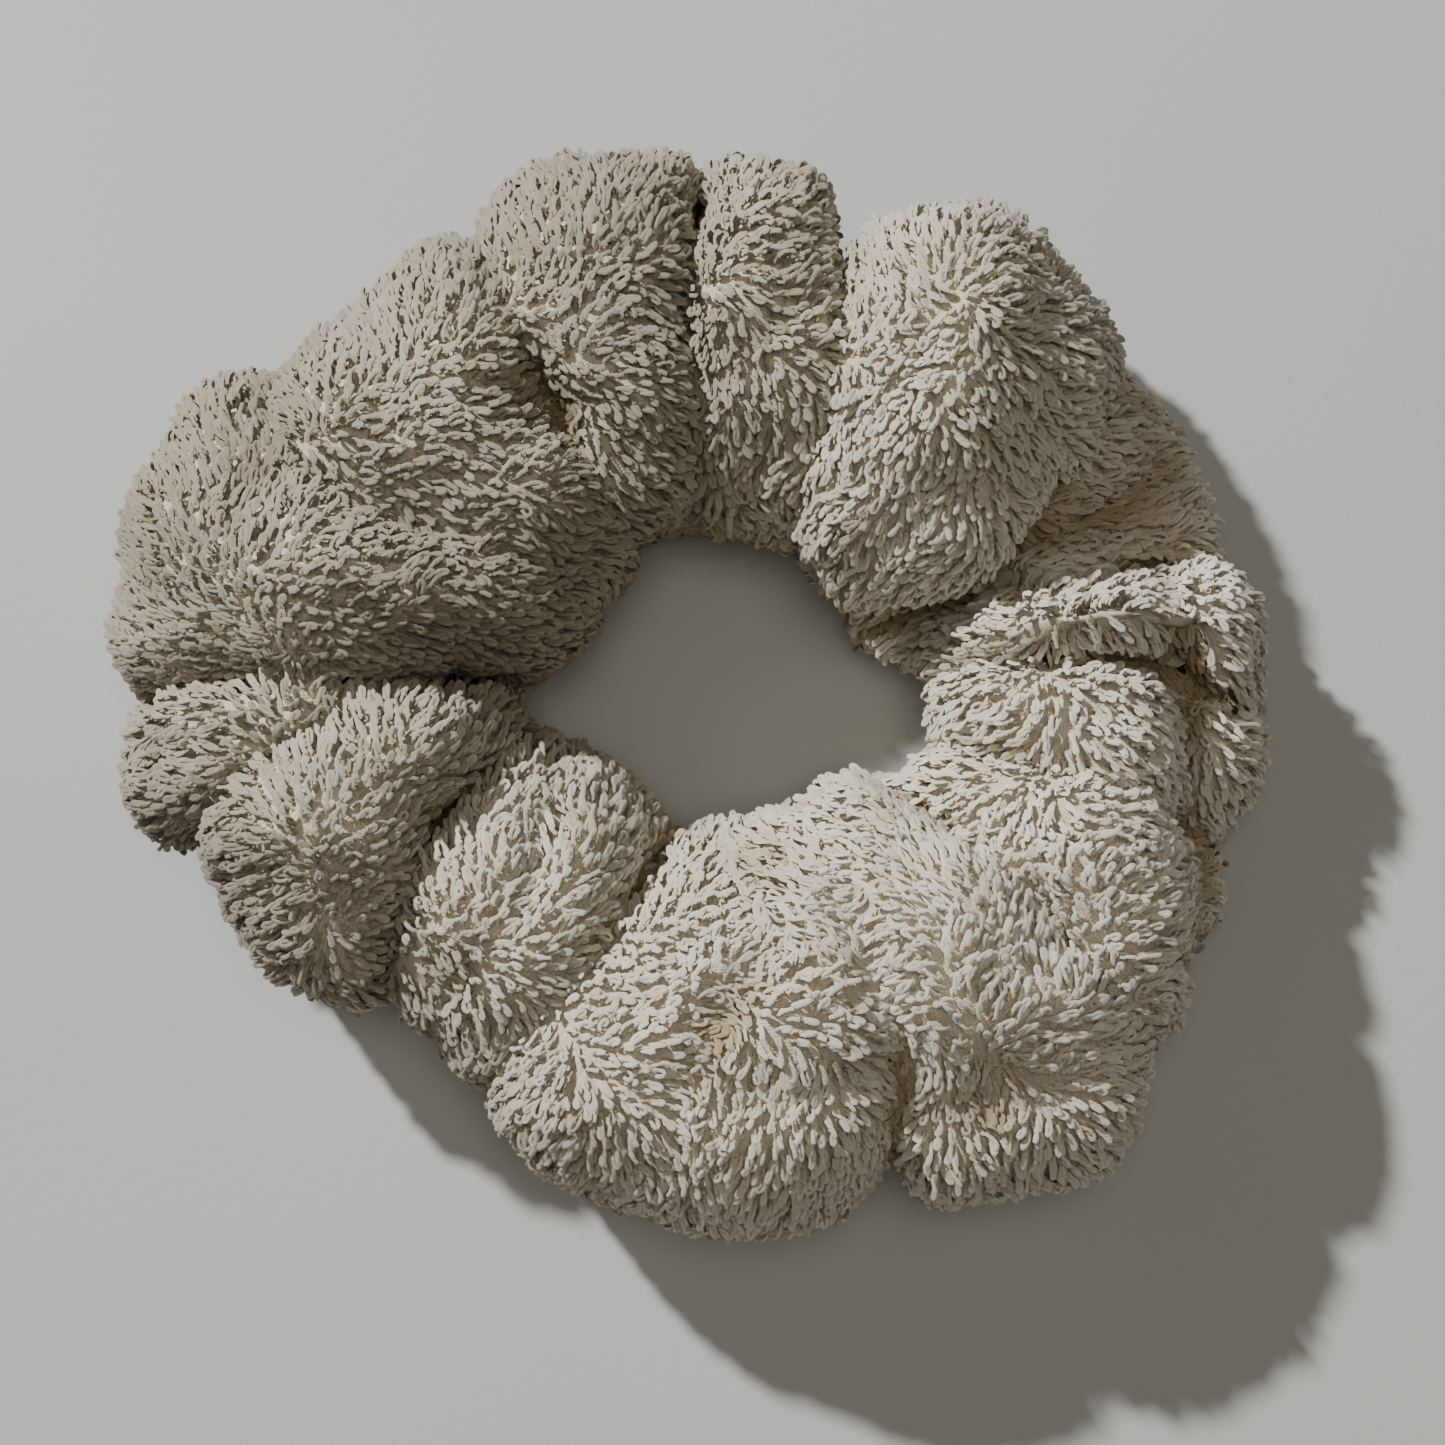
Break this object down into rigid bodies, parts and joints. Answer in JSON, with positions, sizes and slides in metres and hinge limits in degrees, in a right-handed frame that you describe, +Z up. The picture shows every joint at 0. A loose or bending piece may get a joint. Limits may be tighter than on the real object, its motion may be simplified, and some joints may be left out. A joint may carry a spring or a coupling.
{
  "type": "scrunchie",
  "caption": "Gathered terry towelling hair scrunchie: a soft looped-pile tube bunched on a hidden elastic band, which stretches open round a ponytail.",
  "frame": {"origin": "middle of the outline seen from above, on the flat surface the ring lies on", "axes": "+Z up through the hole, which is the ring's own axis; +X to the right and +Y away, as the ring lies with its largest fold at the lower right"},
  "size_m": [0.117, 0.1086, 0.035],
  "materials": {
    "terry": "looped cotton pile, matt, with a soft sheen on the loops",
    "elastic": "flat braided elastic, matt",
    "thread": "spun polyester sewing thread, satin"
  },
  "bodies": {
    "fold_01": {"cover_01": "terry", "elastic_01": "elastic", "long_seam_01": "terry"},
    "fold_02": {"cover_02": "terry", "elastic_02": "elastic", "long_seam_02": "terry"},
    "fold_03": {"cover_03": "terry", "elastic_03": "elastic", "long_seam_03": "terry"},
    "fold_04": {"cover_04": "terry", "elastic_04": "elastic", "long_seam_04": "terry"},
    "fold_05": {"cover_05": "terry", "elastic_05": "elastic", "long_seam_05": "terry"},
    "fold_06": {"cover_06": "terry", "elastic_06": "elastic", "long_seam_06": "terry"},
    "fold_07": {"cover_07": "terry", "elastic_07": "elastic", "long_seam_07": "terry"},
    "fold_08": {"cover_08": "terry", "elastic_08": "elastic", "long_seam_08": "terry"},
    "fold_09": {"cover_09": "terry", "elastic_09": "elastic", "long_seam_09": "terry"},
    "fold_10": {"cover_10": "terry", "elastic_10": "elastic", "long_seam_10": "terry"},
    "fold_11": {"cover_11": "terry", "elastic_11": "elastic", "long_seam_11": "terry"},
    "fold_12": {"cover_12": "terry", "elastic_12": "elastic", "long_seam_12": "terry"},
    "fold_13": {"cover_13": "terry", "elastic_13": "elastic", "long_seam_13": "terry"},
    "fold_14": {"cover_14": "terry", "elastic_14": "elastic", "long_seam_14": "terry"},
    "closing": {"cover_turned_in_end": "terry", "elastic_lap": "elastic", "cover_closing_thread": "thread", "elastic_lap_thread": "thread"}
  },
  "joints": [
    {"name": "stretch", "type": "slide", "parent": "fold_01", "child": "fold_14", "axis": [-0.9139, -0.4059, 0], "range_m": [0, 0.01909], "stiffness_N_per_m": 157.2},
    {"name": "stretch_14_13", "type": "slide", "parent": "fold_14", "child": "fold_13", "axis": [-0.9583, 0.2857, 0], "range_m": [0, 0.02249], "stiffness_N_per_m": 133.5},
    {"name": "stretch_13_12", "type": "slide", "parent": "fold_13", "child": "fold_12", "axis": [-0.5934, 0.8049, 0], "range_m": [0, 0.01554], "stiffness_N_per_m": 193.2},
    {"name": "stretch_12_11", "type": "slide", "parent": "fold_12", "child": "fold_11", "axis": [-0.2377, 0.9713, 0], "range_m": [0, 0.008], "stiffness_N_per_m": 375.6},
    {"name": "stretch_11_10", "type": "slide", "parent": "fold_11", "child": "fold_10", "axis": [0.0689, 0.9976, 0], "range_m": [0, 0.01048], "stiffness_N_per_m": 286.5},
    {"name": "stretch_10_09", "type": "slide", "parent": "fold_10", "child": "fold_09", "axis": [0.4882, 0.8727, 0], "range_m": [0, 0.01577], "stiffness_N_per_m": 190.4},
    {"name": "stretch_09_08", "type": "slide", "parent": "fold_09", "child": "fold_08", "axis": [0.8567, 0.5158, 0], "range_m": [0, 0.01503], "stiffness_N_per_m": 199.7},
    {"name": "stretch_01_02", "type": "slide", "parent": "fold_01", "child": "fold_02", "axis": [0.6018, 0.7986, 0], "range_m": [0, 0.01094], "stiffness_N_per_m": 274.4},
    {"name": "stretch_02_03", "type": "slide", "parent": "fold_02", "child": "fold_03", "axis": [0.309, 0.9511, 0], "range_m": [0, 0.00888], "stiffness_N_per_m": 338.3},
    {"name": "stretch_03_04", "type": "slide", "parent": "fold_03", "child": "fold_04", "axis": [0.0401, 0.9992, 0], "range_m": [0, 0.00753], "stiffness_N_per_m": 398.9},
    {"name": "stretch_04_05", "type": "slide", "parent": "fold_04", "child": "fold_05", "axis": [-0.1925, 0.9813, 0], "range_m": [0, 0.00649], "stiffness_N_per_m": 463},
    {"name": "stretch_05_06", "type": "slide", "parent": "fold_05", "child": "fold_06", "axis": [-0.5087, 0.861, 0], "range_m": [0, 0.01379], "stiffness_N_per_m": 217.7},
    {"name": "stretch_06_07", "type": "slide", "parent": "fold_06", "child": "fold_07", "axis": [-0.875, 0.484, 0], "range_m": [0, 0.01775], "stiffness_N_per_m": 169.1},
    {"name": "stretch_07_closing", "type": "slide", "parent": "fold_07", "child": "closing", "axis": [-0.9991, -0.0419, 0], "range_m": [0, 0.01468], "stiffness_N_per_m": 204.5}
  ],
  "couplings": [
    {"joint": "stretch_14_13", "follows": "stretch", "ratio": 1.1775},
    {"joint": "stretch_13_12", "follows": "stretch", "ratio": 0.81356},
    {"joint": "stretch_12_11", "follows": "stretch", "ratio": 0.41845},
    {"joint": "stretch_11_10", "follows": "stretch", "ratio": 0.54854},
    {"joint": "stretch_10_09", "follows": "stretch", "ratio": 0.82548},
    {"joint": "stretch_09_08", "follows": "stretch", "ratio": 0.78703},
    {"joint": "stretch_01_02", "follows": "stretch", "ratio": 0.57283},
    {"joint": "stretch_02_03", "follows": "stretch", "ratio": 0.46462},
    {"joint": "stretch_03_04", "follows": "stretch", "ratio": 0.39397},
    {"joint": "stretch_04_05", "follows": "stretch", "ratio": 0.33948},
    {"joint": "stretch_05_06", "follows": "stretch", "ratio": 0.72179},
    {"joint": "stretch_06_07", "follows": "stretch", "ratio": 0.92951},
    {"joint": "stretch_07_closing", "follows": "stretch", "ratio": 0.76843}
  ]
}
